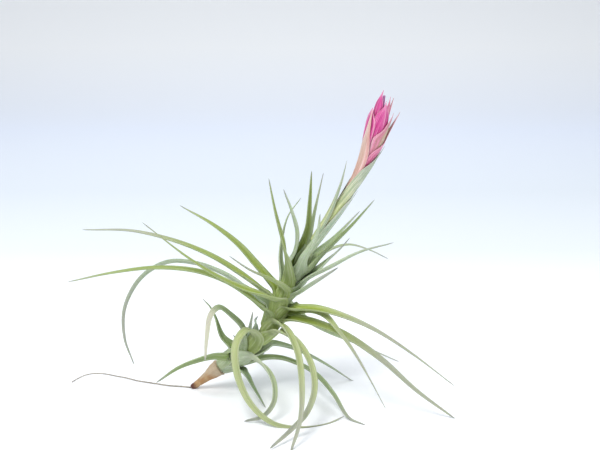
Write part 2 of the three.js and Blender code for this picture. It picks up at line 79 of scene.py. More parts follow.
# A leaf's sheath and blade, in millimetres from its foot and in degrees
GAP = 0.3  # clear space between the ring that the leaves clasp and a leaf's foot
STEM_SLACK = 0.2  # how much slimmer the stem is than that ring
SHEATH = 9  # length of a sheath
SHEATH_THICKNESS = 0.65  # thickness that its foot leaves room for
SHEATH_SPREAD = 0.26  # how far a sheath leans out with each millimetre
SHEATH_WRAP = [(0, 74), (5, 70), (9, 46), (14, 40)]  # half the angle that it wraps
SHEATH_EASE = 1.5  # span over which the corners of that table are rounded
SHEATH_OPENS = (4, 14)  # where the sheath turns into the blade's channel
BLADE_WRAP = (70, 46)  # half the angle of the channel, at the sheath and at the tip
BLADE_TURNS = (12, 36)  # where a blade that turns about itself does so
FLARE = (0.9, 8)  # what the sheath adds to half the width, and over what length that fades
LEAST_BORE = 0.35  # least radius inside the channel
FOOT_THINS = 0.8  # length over which the foot thins out
TIP_THINS = 4  # length over which the tip thins out
TIP_SHARE = 0.2  # share of its thickness that a tip keeps
TIP_HALF_WIDTH = 0.14
TIP_REACH = 1.5  # how far the needle runs past the last point of its path
RING_STEP = 1.1
LEAF_RING = 24

# A bract, in millimetres and in shares of its length
BRACT_RING = 30
BRACT_RINGS = 48
BRACT_FOOT = 0.6  # thickness that its foot leaves room for
BRACT_TIP = 0.14  # half its width at the tip
BRACT_OVERRUN = 1  # how far its tip reaches past its length
BRACT_EASE = 0.05  # share of its length over which the corners of its tables are rounded
BRACT_POINT = (1.1, 0.75)  # shares of its length between which it is drawn in to a point
BRACT_SWELLS = 12  # how fast it thickens from its foot, in thicknesses to its length
BRACT_THINS = 5  # how fast it thins to its tip

# Each leaf: its name, the station of its foot, the way it faces round the stem, its width, its
# finish, how late it narrows, how far it turns about itself, its shade and fade (below 0
# darkened by painted shade, above 0 faded, 2 folded over), how far along it starts to dry, and the
# points that its blade passes.
LEAVES = [
    ("leaf_01_low_left", 18.5, -55, 4.2, "mature", 0.6, 0, 0, 0.75,
     [(18, -8, 21.5), (12, -12, 23), (4, -15, 22), (-6, -17, 18.5), (-16, -19, 12)]),
    ("leaf_02_low_front", 18.5, 60, 3.2, "silver", 0.75, 0, -0.4, 0.8,
     [(28, -9, 12), (32, -16, 8), (38, -24, 1)]),
    ("leaf_03_back_left", 19, -130, 4.6, "mature", 0.8, 30, -0.3, 0.8,
     [(15, 5.5, 27.2), (11.2, 9, 37.3), (8.5, 10.5, 42), (5.3, 12, 45)]),
    ("leaf_04_short_back", 23.5, -165, 3.0, "silver", 0.8, 0, -0.8, 0.7,
     [(24, 9, 21), (21, 13, 24)]),
    ("leaf_05_front_hook", 24, 0, 4.8, "silver", 0.45, 40, 0.7, 0.6,
     [(31, -13, 23), (38, -20, 21), (43, -30, 16), (43, -38, 9), (38, -43, 4), (30, -42, 1)]),
    ("leaf_06_small_back", 20, 145, 3.0, "silver", 0.8, 0, -0.5, 0.7, [(30, 8, 15), (36, 14, 14)]),
    ("leaf_07_low_right", 26, 95, 4.6, "mature", 0.45, 0, -0.3, 0.6,
     [(38, 1, 17), (46, 3, 16), (55, 0, 14), (64, -9, 12), (73, -26, 8), (80, -38, 1),
      (87, -44, 0)]),
    ("leaf_08_back_upright", 29, -175, 3.2, "silver", 0.8, 0, -0.5, 0.5,
     [(29, 11, 26), (29, 21, 26), (30, 34, 30)]),
    ("leaf_09_folded", 30, -80, 4.6, "silver", 0.6, 0, 2, 0.9,
     [(27, -5, 35), (21, -9, 44), (15, -11, 49), (11, -14, 46), (9, -17, 35), (8, -18, 24)]),
    ("leaf_10_right_rest", 33, 110, 5.0, "silver", 0.7, 0, -0.1, 0.65,
     [(41, 3, 24), (49, 5, 22), (59, 7, 17), (70, 9, 10), (84, 10, 0)]),
    ("leaf_11_front_loop", 36, -25, 4.8, "young", 0.75, 0, 0.8, 0.65,
     [(32, -10, 36), (28, -16, 38), (24, -23, 33), (25, -32, 22), (32, -42, 10), (43, -47, 2),
      (57, -48, 0), (69, -44, 0), (77, -38, 1)]),
    ("leaf_12_back_short", 37, -145, 3.0, "silver", 0.9, 0, -0.4, 0.6,
     [(33, 11, 32), (32, 19, 31), (33, 28, 30)]),
    ("leaf_13_front_arch", 43, 35, 5.0, "young", 0.5, 0, 0.8, 0.5,
     [(45, -12, 37), (51, -17, 36), (57, -23, 32), (62, -32, 25), (63, -42, 17), (59, -53, 10),
      (52, -60, 5), (43, -70.5, 1.2)]),
    ("leaf_14_front_drop", 48, 15, 4.6, "young", 0.5, 20, 0.8, 0.5,
     [(47, -12, 40), (51, -20, 38), (55, -31, 32), (57, -47, 21), (56, -62, 10), (52, -72, 0)]),
    ("leaf_15_left_sweep", 51, -50, 5.6, "young", 0.8, -20, -0.3, 0.75,
     [(36, -8, 49), (29, -13, 57), (19, -17, 65), (4, -22, 72), (-15, -27, 75), (-35, -32, 74),
      (-54, -36, 71)]),
    ("leaf_16_right_long", 51, 65, 5.4, "young", 0.6, 10, 0.2, 0.3,
     [(53, -8, 42), (64, -15, 42), (79, -22, 38), (96, -28, 28), (114, -33, 13), (132, -37, 0.5)]),
    ("leaf_17_left_droop", 53, -120, 5.6, "silver", 0.75, 35, -0.3, 0.5,
     [(34, 6, 49), (24, 12, 55), (12, 17, 60), (-1, 21, 63), (-15, 25, 62), (-30, 29, 52),
      (-40, 31, 34), (-41, 32, 16), (-37, 33, 1)]),
    ("leaf_18_back_rest", 53, 165, 4.2, "mature", 0.7, 0, 0, 0.75,
     [(46, 16, 40), (43, 38, 23), (35, 64, 0)]),
    ("leaf_19_right_dip", 55, 105, 5.2, "young", 1.6, 0, 0.5, 0.4,
     [(54, -2, 43), (61, -9, 47), (69, -18, 47), (76, -26, 41), (82, -31, 34), (90, -35, 21),
      (98, -37, 6)]),
    ("leaf_20_left_cross", 60, -15, 5.6, "young", 1.3, -45, 0, 0.7,
     [(43, -9, 53), (36, -13, 57), (26, -17, 62), (14, -22, 70), (2, -27, 80), (-18, -34, 99)]),
    ("leaf_21_right_arch", 58, 50, 6.4, "young", 1.4, 15, 0, 0.25,
     [(54, -9, 48), (64, -17, 50.5), (77, -23, 49), (93, -30, 44), (111, -35, 33.5),
      (131, -38, 18.5)]),
    ("leaf_22_left_reach", 59, -75, 5.4, "young", 0.75, -25, -0.2, 0.45,
     [(36, -1, 56), (25, -3, 65), (11, -6, 75), (-6, -8, 83), (-28, -8, 88.5), (-52, -6, 88.5)]),
    ("leaf_23_left_rise", 63, -115, 6.0, "young", 0.95, -20, -0.2, 0.72,
     [(39, 5, 60), (33, 6, 67), (24, 8, 77), (11, 10, 87), (-5, 12, 96)]),
    ("leaf_24_right_back", 57, 135, 3.4, "silver", 1.0, 0, 0.4, 0.6,
     [(54, 7, 42), (61, 8, 34.5), (72, 10, 27.5), (84, 11, 22), (108, 11, 11)]),
    ("leaf_25_back_level", 65, 180, 4.0, "mature", 0.7, 0, 0, 0.75,
     [(51, 18, 57), (55, 38, 61), (57, 58, 59)]),
    ("leaf_26_left_short", 66, -15, 5.4, "young", 0.9, 0, 0, 0.5,
     [(47, -9, 60), (41, -13, 65), (31, -17, 71), (22, -19, 78)]),
    ("leaf_27_right_short", 66, 55, 4.4, "silver", 0.6, -30, 0, 0.5,
     [(57, -8, 57), (64, -15, 64), (74, -22, 73)]),
    ("leaf_28_right_spread", 71, 75, 5.2, "silver", 0.8, -35, 0.1, 0.65,
     [(60, -6, 63), (71, -10, 70), (86, -10, 78), (102, -8, 82)]),
    ("leaf_29_back_curl", 70, -125, 3.8, "silver", 1.3, 0, 0.6, 0.9,
     [(46, 9, 69), (47, 13, 80), (50, 16, 90), (56, 19, 98)]),
    ("leaf_30_front_tall", 73, -30, 5.2, "young", 0.8, -70, -0.25, 0.8,
     [(50, -7, 71), (48, -10, 82), (44, -12, 99), (41, -12, 115)]),
    ("leaf_31_right_behind", 71, 145, 2.6, "silver", 0.8, 0, 0.7, 0.6,
     [(62, 14, 65), (72, 22, 70), (83, 28, 71), (94, 31, 67), (103, 33, 62)]),
    ("leaf_32_right_low", 75.5, 105, 5.8, "silver", 0.8, -35, 0.1, 0.55,
     [(64, 0, 65), (70, 2, 70), (77, 4, 76), (81, 6, 80)]),
    ("leaf_33_top_left", 77, -105, 5.2, "silver", 0.7, 50, 0, 0.75,
     [(53.5, 3, 74), (54.7, 3, 84), (51.8, 3, 96.2), (48.2, 4, 105.7)]),
    ("leaf_34_front_silver", 79.5, 10, 5.0, "silver", 0.9, 0, 0.1, 0.85,
     [(58, -8, 74), (62, -9, 81), (65, -9, 88), (66, -8, 96)]),
    ("leaf_35_back_right", 78, 175, 3.2, "silver", 0.8, 0, 0, 0.65,
     [(63, 13, 70), (74, 20, 77), (87, 26, 89)]),
    ("leaf_36_right_tall", 81, 75, 5.8, "mature", 0.8, 25, -0.2, 0.78,
     [(65, 4, 70), (73, 8, 77), (83, 12, 86), (94, 15, 98)]),
    ("leaf_37_right_tip", 82, 130, 3.4, "mature", 0.8, 0, 0, 0.65, [(66, 10, 71), (73, 16, 73)]),
    ("leaf_38_top_green", 83, -140, 5.0, "young", 0.8, 0, -0.3, 0.82,
     [(57, 7, 77), (60, 8, 86), (61, 9, 98), (62, 10, 114)]),
    ("leaf_39_top_thin", 87, 175, 2.6, "silver", 1.1, 0, 0.5, 0.6,
     [(61, 11, 80), (64, 15, 94), (68, 19, 111)]),
]

# How much of its widest wrap a bract still has from its foot (0) to its tip (1)
BRACT_OUTLINES = {
    "boat": [(0, 1), (0.45, 0.95), (0.75, 0.6), (1, 0)],
    "blunt": [(0, 1), (0.7, 0.9), (0.9, 0.65), (1, 0)],
    "hooded": [(0, 1), (0.58, 1), (0.68, 0.52), (0.8, 0.36), (0.95, 0.2), (1, 0)],
    "drawn": [(0, 1), (0.45, 0.9), (0.6, 0.62), (0.75, 0.22), (0.88, 0.16), (1, 0)],
    "leafy": [(0, 1), (0.3, 0.7), (0.6, 0.3), (1, 0)],
}

# Each bract: its name, the station of its foot, the way it faces at foot and tip, its length,
# half the angle that it wraps, its distance from the axis at each quarter of its length, its
# outline and its finish.
BRACTS = [
    ("bract_01_right_silver", 98, (55, 70), 41, 70, (2.8, 3.1, 3.4, 3.7), "boat", "silver"),
    ("bract_02_left_leafy", 104, (-50, -80), 46.5, 60, (3.0, 4.1, 6.4, 9.1), "leafy", "green"),
    ("bract_03_back", 105, (170, 165), 42, 60, (2.9, 3.4, 4.2, 5.0), "drawn", "green"),
    ("bract_04_right_green", 115, (-25, 65), 45, 85, (2.45, 2.8, 3.8, 5.6), "boat", "green"),
    ("bract_05_back_left", 118, (-150, -150), 34, 50, (2.4, 2.8, 3.4, 4.4), "drawn", "green"),
    ("bract_06_front_salmon", 131, (-48, -42), 49, 55, (2.55, 4.1, 6.0, 6.7), "drawn", "salmon"),
    ("bract_07_right_edge", 132, (95, 76), 31.5, 50, (2.2, 3.1, 4.5, 6.6), "leafy", "green"),
    ("bract_08_front_rose", 142, (15, 66), 23.5, 65, (2.3, 3.2, 4.6, 6.4), "boat", "rose"),
    ("bract_09_back_awn", 143, (130, 100), 38, 50, (3.4, 5.5, 7.4, 10.1), "leafy", "beige"),
    ("bract_10_right_beige", 150, (62, 77), 30, 80, (3.3, 5.0, 5.9, 6.6), "hooded", "beige"),
    ("bract_11_back_pink", 149, (-160, -160), 32, 60, (3.5, 5.4, 5.9, 5.4), "boat", "magenta"),
    ("bract_12_left_magenta", 152, (-75, -62), 28.5, 58, (3.4, 5.2, 5.5, 4.8), "blunt", "magenta"),
    ("bract_13_front_magenta", 156, (14, 22), 29, 75, (3.9, 5.0, 5.0, 3.5), "boat", "magenta"),
    ("bract_14_back_grey", 156, (140, 115), 31, 50, (3.4, 4.8, 5.2, 5.6), "leafy", "beige"),
    ("bract_15_right_pink", 158, (62, 60), 29.5, 75, (3.3, 4.2, 4.2, 3.2), "boat", "rose"),
    ("bract_16_top_magenta", 161, (-50, -40), 29, 80, (2.9, 3.5, 3.1, 1.8), "boat", "magenta"),
]

UNWORN = (0, 0, 1)  # the wear of a skin without a seed, a tone or drying

# Tints that the leaves share
LEAF_TINTS = {
    "margin": "BCC6A0", "pale_line": "D8DDC6", "faded": "B6BA9B", "folded_outside": "CBC8B5",
    "folded_inside": "76885A", "frost": "CDD3C8", "dried": "A3A49B", "needle": "77777A",
}


def linear(hex_colour):
    """A colour written as RRGGBB, in the linear values that shaders take."""
    channels = [int(hex_colour[k:k + 2], 16) / 255 for k in (0, 2, 4)]
    return tuple(c / 12.92 if c <= 0.04045 else ((c + 0.055) / 1.055) ** 2.4 for c in channels)


def smooth(low, high, value):
    """0 below low, 1 above high, and an even S between them."""
    part = min(1.0, max(0.0, (value - low) / (high - low)))
    return part * part * (3 - 2 * part)


def blend(a, b, part):
    """From a to b as the part goes from 0 to 1."""
    return a + (b - a) * part


def table_at(rows, station):
    """The value of a table of (station, value) rows at a station between them."""
    if station <= rows[0][0]:
        return rows[0][1]
    for (low, before), (high, after) in zip(rows, rows[1:]):
        if station <= high:
            return blend(before, after, (station - low) / (high - low))
    return rows[-1][1]


def eased_table(rows, station, ease):
    """A table's value with its corners rounded over a span."""
    return sum(table_at(rows, station + ease * k) for k in (-1, -0.5, 0, 0.5, 1)) / 5


class GrownLine:
    """A smooth line through placed points, measured along its length in millimetres."""

    STEPS = 40  # from one placed point to the next
    REACH = 0.4  # how far to either side its direction is read
    MARGIN = 0.5  # distance kept from its far end when its direction is read

    def __init__(self, points):
        # A bend is weighed by the root of its spans, so that no loop forms between close points
        knots = [Vector(p) for p in points]
        ends = [2 * knots[0] - knots[1], *knots, 2 * knots[-1] - knots[-2]]
        self.places = []
        for before, start, end, after in zip(ends, ends[1:], ends[2:], ends[3:]):
            spans = ((before, start), (start, end), (end, after))
            first, span, last = ((b - a).length ** 0.5 for a, b in spans)
            pull = (start - before) / first - (end - before) / (first + span)
            pull = (pull + (end - start) / span) * span
            push = (end - start) / span - (after - start) / (span + last)
            push = (push + (after - end) / last) * span
            bend = -3 * start + 3 * end - 2 * pull - push
            swing = 2 * start - 2 * end + pull + push
            for k in range(self.STEPS):
                t = k / self.STEPS
                self.places.append(start + pull * t + bend * t * t + swing * t ** 3)
        self.places.append(knots[-1])
        self.marks = [0.0]
        for a, b in zip(self.places, self.places[1:]):
            self.marks.append(self.marks[-1] + (b - a).length)
        self.length = self.marks[-1]

    def point(self, along):
        """The point at a distance along the line; past either end it runs on straight."""
        k = min(max(bisect.bisect_right(self.marks, along) - 1, 0), len(self.places) - 2)
        part = (along - self.marks[k]) / (self.marks[k + 1] - self.marks[k])
        return self.places[k].lerp(self.places[k + 1], part)

    def tangent(self, along):
        """The line's direction at a distance along it."""
        return (self.point(along + self.REACH) - self.point(along - self.REACH)).normalized()


STEM = GrownLine(STEM_AXIS)


def stem_frame(station):
    """The stem's axis, its direction, and its front and right-hand sides at a station."""
    tangent = STEM.tangent(min(max(station, STEM.MARGIN), STEM.length - STEM.MARGIN))
    front = Vector((0, -1, 0))
    front = (front - tangent * front.dot(tangent)).normalized()
    return STEM.point(station), tangent, front, tangent.cross(front)


def outward(station, facing):
    """The direction away from the stem's axis, at an angle from its front."""
    _, _, front, right = stem_frame(station)
    turn = math.radians(facing)
    return front * math.cos(turn) + right * math.sin(turn)


def beside_stem(station, facing, radius):
    """A point at a distance from the stem's axis."""
    return STEM.point(station) + outward(station, facing) * radius


def foot_radius(at, thickness):
    """The distance from the stem's axis at which a leaf or bract begins."""
    return table_at(CORE_RADIUS, at) + GAP + thickness / 2


def seed_of(name):
    """A number from 0 to 1 that is always the same for a name."""
    return random.Random(name).random()


def add_skin(shape, around, rings, place, marks):
    """Wraps a grid into a closed skin: place and marks give each point its spot and its values.

    The values are where it lies on the skin, how far it has grown, and its wear and painted shade.
    """
    blade = shape.verts.layers.float_vector.new("blade")
    growth = shape.verts.layers.float_vector.new("growth")
    wear = shape.verts.layers.float_vector.new("wear")
    unrolled = shape.loops.layers.uv.new("Skin")
    sheet = bmesh.ops.create_grid(shape, x_segments=around, y_segments=rings, size=0.5)["verts"]
    spots = {v: (round((v.co.x + 0.5) * around), round((v.co.y + 0.5) * rings)) for v in sheet}
    for face in {f for v in sheet for f in v.link_faces}:
        face.smooth = True
        for loop in face.loops:
            step, ring = spots[loop.vert]
            loop[unrolled].uv = (step / around, ring / rings)
    for vert, (step, ring) in spots.items():
        turn = 2 * math.pi * step / around
        spot = place(turn, ring)
        vert.co = Vector((spot.x, spot.y, max(spot.z, LEAST_HEIGHT))) * MM
        vert[blade], vert[growth], vert[wear] = marks(turn, ring)
    bmesh.ops.remove_doubles(shape, verts=sheet, dist=MERGED)
    bmesh.ops.recalc_face_normals(shape, faces=shape.faces)


def add_piece(name, shape, node, finish):
    """Turns a shape into a piece that stands for a node of the frame."""
    mesh = bpy.data.meshes.new(name)
    shape.to_mesh(mesh)
    shape.free()
    mesh.materials.append(finish)
    piece = bpy.data.objects.new(name, mesh)
    bpy.context.scene.collection.objects.link(piece)
    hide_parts(node)
    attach(piece, "root")


def channel_point(section, turn):
    """A point of a section: an arc of a ring, thick along its middle and rounded at its margins."""
    across = math.cos(turn)
    swell = 0.5 * section["thickness"] * math.sqrt(max(0.0, 1 - across ** 4))
    reach = section["radius"] + math.copysign(swell, math.sin(turn))
    angle = section["wrap"] * across
    inward = section["inward"]
    hub = section["centre"] + inward * section["radius"]
    return hub - inward * (reach * math.cos(angle)) + section["across"] * (reach * math.sin(angle))


def add_channel(shape, sections, around, wear):
    """A closed channelled blade; wear is its seed, painted shade and fading, and where it dries."""
    rings = len(sections) - 1
    length = sections[-1]["along"]

    def place(turn, ring):
        if ring == rings:
            return sections[ring]["centre"]
        return channel_point(sections[ring], turn)

    def marks(turn, ring):
        grown = sections[ring]["along"]
        return (math.cos(turn), math.sin(turn), grown / length), (grown, length, 0), wear

    add_skin(shape, around, rings, place, marks)


def leaf_sections(row, sizes):
    """The sections of a leaf, from the foot of its sheath to its needle tip."""
    _, at, facing, width, _, taper, turn, _, _, path = row
    foot = foot_radius(at, SHEATH_THICKNESS)
    sheath = [
        beside_stem(at + up, facing, foot + SHEATH_SPREAD * up) for up in (0, SHEATH / 2, SHEATH)
    ]
    line = GrownLine([*sheath, *path])
    length = line.length + TIP_REACH
    rings = math.ceil(length / RING_STEP)
    inward = -outward(at, facing)
    sections = []
    for k in range(rings + 1):
        along = length * k / rings
        tangent = line.tangent(min(along, line.length - line.MARGIN))
        inward = (inward - tangent * inward.dot(tangent)).normalized()
        out = min(1.0, max(0.0, (along - SHEATH) / (length - SHEATH)))
        opened = smooth(*SHEATH_OPENS, along)
        ends = min(1.0, along / FOOT_THINS) * min(1.0, (length - along) / TIP_THINS + TIP_SHARE)
        thick = blend(*sizes.leaf_thickness, out) * ends
        half_width = blend(TIP_HALF_WIDTH, width / 2, (1 - out) ** taper)
        half_width += FLARE[0] * math.exp(-max(0.0, along - SHEATH) / FLARE[1])
        channel = math.sin(math.radians(blend(*BLADE_WRAP, out)))
        wrap = math.asin(min(channel, half_width / (thick / 2 + LEAST_BORE)))
        clasp = math.radians(eased_table(SHEATH_WRAP, along, SHEATH_EASE))
        spin = Matrix.Rotation(math.radians(turn) * smooth(*BLADE_TURNS, along), 3, tangent)
        radius = half_width / math.sin(wrap)
        hollow = radius * (1 - math.cos(wrap)) * opened
        sections.append({
            "centre": line.point(along) - (spin @ inward) * (hollow / 2),
            "inward": spin @ inward, "across": spin @ tangent.cross(inward),
            "radius": blend(foot + SHEATH_SPREAD * along, radius, opened),
            "wrap": blend(clasp, wrap, opened), "thickness": thick, "along": along,
        })
    return sections


def bract_sections(row, sizes):
    """The sections of a bract, from its foot inside the spike to its point."""
    _, at, facing, length, wrap, quarters, outline, _ = row
    distances = (foot_radius(at, BRACT_FOOT), *quarters)
    radii = [(k / len(quarters), distance) for k, distance in enumerate(distances)]
    sections = []
    for k in range(BRACT_RINGS + 1):
        part = k / BRACT_RINGS
        station = at + part * (length + BRACT_OVERRUN)
        reach = eased_table(radii, part, BRACT_EASE)
        wide = max(0.0, eased_table(BRACT_OUTLINES[outline], part, BRACT_EASE))
        wide *= smooth(*BRACT_POINT, part)
        arc = blend(math.asin(BRACT_TIP / reach), math.radians(wrap), wide)
        side = outward(station, blend(*facing, part))
        centre, tangent, _, _ = stem_frame(station)
        thick = sizes.bract_thickness * min(1.0, part * BRACT_SWELLS)
        thick *= min(1.0, (1 - part) * BRACT_THINS + TIP_SHARE)
        sections.append({
            "centre": centre + side * reach, "inward": -side, "across": tangent.cross(-side),
            "radius": reach, "wrap": arc, "thickness": thick, "along": part * length,
        })
    return sections


class Wire:
    """A shader value that Python's arithmetic adds Math nodes to."""

    def __init__(self, finish, socket):
        self.finish = finish
        self.socket = socket

    def maths(self, operation, *values):
        """Adds a Math node."""
        return self.finish.node("Math", {"operation": operation}, dict(enumerate(values)))

    def __add__(self, other):
        return self.maths("ADD", self, other)

    def __sub__(self, other):
        return self.maths("SUBTRACT", self, other)

    def __rsub__(self, other):
        return self.maths("SUBTRACT", other, self)

    def __mul__(self, other):
        return self.maths("MULTIPLY", self, other)

    def __truediv__(self, other):
        return self.maths("DIVIDE", self, other)

    def __abs__(self):
        return self.maths("ABSOLUTE", self)

    __radd__ = __add__
    __rmul__ = __mul__


class Finish:
    """A material under construction."""

    def __init__(self, name):
        self.material = bpy.data.materials.new(name)
        self.material.use_nodes = True
        self.tree = self.material.node_tree
        self.tree.nodes.clear()

    def plug(self, socket, value):
        """Links a shader value to a socket, or sets a plain one on it."""
        if isinstance(value, Wire):
            self.tree.links.new(value.socket, socket)
        elif socket.type == "RGBA" and len(value) == 3:
            socket.default_value = (*value, 1)
        else:
            socket.default_value = value

    def node(self, kind, settings=None, sockets=None, out=0):
        """Adds a node: its settings first, then the values or links of its sockets."""
        made = self.tree.nodes.new("ShaderNode" + kind)
        for key, value in (settings or {}).items():
            if key == "stops":
                stops = made.color_ramp.elements
                while len(stops) < len(value):
                    stops.new(0.5)
                for stop, (position, colour) in zip(stops, value):
                    stop.position = position
                    stop.color = (*colour, 1)
            else:
                setattr(made, key, value)
        for key, value in (sockets or {}).items():
            self.plug(made.inputs[key], value)
        return Wire(self, made.outputs[out])

    def mix(self, factor, a, b):
        """Colour a, turning into colour b as the factor goes from 0 to 1."""
        settings = {"data_type": "RGBA", "clamp_factor": True}
        return self.node("Mix", settings, {0: factor, 6: a, 7: b}, 2)

    def coats(self, colour, *layers):
        """Lays colours over a colour, each given with how much it covers."""
        for cover, tint in layers:
            colour = self.mix(cover, colour, tint)
        return colour

    def ramp(self, value, low, high):
        """0 to 1 as the value goes from low to high, or from high down to low."""
        sockets = {"Value": value, "From Min": low, "From Max": high}
        return self.node("MapRange", {"interpolation_type": "SMOOTHSTEP"}, sockets)

    def stops(self, value, *colours):
        """A colour ramp through (position, colour) stops."""
        return self.node("ValToRGB", {"stops": colours}, {"Fac": value})

    def split(self, vector):
        """The three parts of a vector."""
        parts = self.node("SeparateXYZ", None, {0: vector}).socket.node.outputs
        return [Wire(self, part) for part in parts]

    def join(self, x, y, z):
        """A vector from its three parts."""
        return self.node("CombineXYZ", None, {0: x, 1: y, 2: z})

    def attribute(self, name):
        """The three values that a skin carries under a name."""
        return self.node("Attribute", {"attribute_name": name}, None, 1)

    def grain(self, vector, scale, detail=3, roughness=0.55):
        """Noise from 0 to 1, finer as its scale grows."""
        sockets = {"Vector": vector, "Scale": scale, "Detail": detail, "Roughness": roughness}
        return self.node("TexNoise", None, sockets)

    def place(self):
        """Object coordinates, in metres."""
        return self.node("TexCoord", None, None, 3)

    def finish(self, sockets, height=None, relief=0.0001, strength=0.5):
        """Ends the material in a principled shader, with a bump from a height."""
        if height is not None:
            bump = {"Strength": strength, "Distance": relief, "Height": height}
            sockets["Normal"] = self.node("Bump", None, bump)
        output = self.tree.nodes.new("ShaderNodeOutputMaterial")
        self.plug(output.inputs["Surface"], self.node("BsdfPrincipled", None, sockets))
        return self.material


def leaf_finish(name, face, deep, bright, under, shade, sheath, frost):
    """Leaf skin: a channelled face, a frosted back, and a blade that greys as it dries."""
    f = Finish(name)
    tint = {part: linear(colour) for part, colour in LEAF_TINTS.items()}
    across, side, along = f.split(f.attribute("blade"))
    grown, length, _ = f.split(f.attribute("growth"))
    seed, shade_and_fade, drying = f.split(f.attribute("wear"))
    lines = f.grain(f.join(across * 7, side * 2.5, grown * 0.05 + seed * 60), 1.0, 4, 0.6)
    blotch = f.grain(f.join(across * 0.8, side, grown * 0.07 + seed * 31), 1.0, 2)
    uneven = blotch - 0.5
    scales = f.grain(f.place(), 3200, 2, 0.6)
    patches = f.grain(f.place(), 260, 3)

    # Where each thing shows on the skin
    below = f.ramp(side + uneven * 0.3, -0.35, 0.15)
    near_foot = f.ramp(along + uneven * 0.3, 0.5, 0.1)
    margin, painted_shade_rim = f.ramp(abs(across), 0.5, 0.8), f.ramp(abs(across), 0.8, 0.95)
    clasping = f.ramp(grown + blotch * 5, 16, 5)
    dark_lines, pale_lines = f.ramp(lines, 0.4, 0.62), f.ramp(lines, 0.5, 0.34)
    # Painted shade: a leaf set below 0 is darkened all over towards a darker green
    painted_shade, folded = f.ramp(shade_and_fade, 0, -1.2), f.ramp(shade_and_fade, 1, 2)
    faded = f.ramp(shade_and_fade, 0, 1.5) - folded * 0.6
    past_fold, before_fold = f.ramp(along, 0.52, 0.64), f.ramp(along, 0.62, 0.5)
    frosted = f.ramp(scales, 0.5, 0.68) * (0.2 + below * 0.8) * frost
    dried = f.ramp(along + uneven * 0.15, drying, drying + 0.35)
    needle = f.ramp(length - grown, 6, 0)

    # Painted shade: the blade's outermost edges are darkened with the deep green
    front = f.coats(face, (near_foot, bright), (margin * 0.45, tint["margin"]), (painted_shade_rim * 0.5, deep))
    back = f.mix(f.ramp(patches, 0.3, 0.75) * 0.35, under, face)
    colour = f.coats(
        f.mix(below, front, back),
        (clasping * 0.8, sheath),
        (dark_lines * 0.4, deep),
        (pale_lines * 0.25, tint["pale_line"]),
        # painted shade over whole leaves set below 0
        (painted_shade, shade),
        (faded * f.ramp(grown, 6, 20) * 0.8, tint["faded"]),
        (folded * past_fold * 0.9, tint["folded_outside"]),
        (folded * before_fold * 0.65, tint["folded_inside"]),
        (frosted, tint["frost"]),
        (dried * 0.75, tint["dried"]),
        (needle * 0.5, tint["needle"]))
    return f.finish({
        "Base Color": colour, "Roughness": 0.42 + below * 0.2 + scales * 0.12,
        "Specular IOR Level": 0.35, "Subsurface Weight": 0.15,
        "Subsurface Radius": (0.6, 1.0, 0.25), "Subsurface Scale": 0.001,
    }, lines * 0.7 + scales * 0.3, relief=0.00012, strength=0.45)


def bract_finish(name, stops, veins, frost, blush=None, blushed_side=1):
    """Bract skin: a wash of colour over fine lengthwise veins, maybe with a blushed side."""
    f = Finish(name)
    across, side, along = f.split(f.attribute("blade"))
    grown, _, _ = f.split(f.attribute("growth"))
    seed, _, _ = f.split(f.attribute("wear"))
    lines = f.grain(f.join(across * 9, side * 1.5, grown * 0.06 + seed * 60), 1.0, 4, 0.6)
    blotch = f.grain(f.join(across * 1.2, side, grown * 0.12 + seed * 31), 1.0, 2)
    uneven = blotch - 0.5
    scales = f.grain(f.place(), 3000, 2, 0.6)
    colour = f.stops(along + uneven * 0.22, *stops)
    if blush:
        colour = f.mix(f.ramp(across * blushed_side + uneven * 0.3, 0.2, 0.6), colour, blush)
    colour = f.coats(
        colour,
        (f.ramp(lines, 0.44, 0.62) * 0.75, veins),
        (f.ramp(lines, 0.5, 0.34) * 0.35, linear("EDE4E2")),
        (f.ramp(blotch, 0.48, 0.7) * 0.35, veins),
        (f.ramp(abs(across), 0.86, 1.0) * 0.3, linear("E9D2CC")),
        (f.ramp(scales, 0.55, 0.72) * frost, linear("EDEDE2")))
    return f.finish({
        "Base Color": colour, "Roughness": 0.46 + scales * 0.15, "Specular IOR Level": 0.35,
        "Subsurface Weight": 0.1, "Subsurface Radius": (1.0, 0.5, 0.4),
        "Subsurface Scale": 0.001,
    }, lines * 0.8 + scales * 0.2, relief=0.00012)


def wood_finish(name, colours):
    """Old stem: cracked orange-tan skin, a dark cut end and a papery scrap at its top."""
    tan, worn, crack, cut, scrap = (linear(colour) for colour in colours)
    f = Finish(name)
    across, side, _ = f.split(f.attribute("blade"))
    grown, _, _ = f.split(f.attribute("growth"))
    fibres = f.grain(f.join(across * 4, side * 4, grown * 0.11), 1.0, 6, 0.68)
    strands = f.grain(f.join(across * 13, side * 13, grown * 0.2), 1.0, 3, 0.6)
    stains = f.grain(f.place(), 260, 4)
    papery = f.ramp(grown + fibres * 8 - side * 3, 15, 20)
    tongue = f.ramp(fibres * 0.8 - side, 0.75, 1.25) * f.ramp(grown, 5, 9)
    papery = papery + (1 - papery) * tongue
    colour = f.coats(
        tan,
        (f.ramp(stains, 0.35, 0.65), worn),
        (f.ramp(fibres, 0.55, 0.68) * 0.7, crack),
        (papery * 0.85, scrap),
        (f.ramp(strands, 0.5, 0.7) * 0.4, crack),
        (f.ramp(grown + stains * 2.4, 5.2, 2.2) * 0.95, cut))
    skin = {"Base Color": colour, "Roughness": 0.62 + stains * 0.2, "Specular IOR Level": 0.3}
    return f.finish(skin, fibres * 0.6 + strands * 0.4, relief=0.00035, strength=0.7)


def thread_finish(name, skin, bare):
    """A dry wiry root: grey-brown, paler where its skin is worn."""
    f = Finish(name)
    worn = f.grain(f.place(), 420, 3)
    colour = f.mix(f.ramp(worn, 0.35, 0.65), linear(skin), linear(bare))
    return f.finish({"Base Color": colour, "Roughness": 0.65 + worn * 0.2}, worn, strength=0.4)


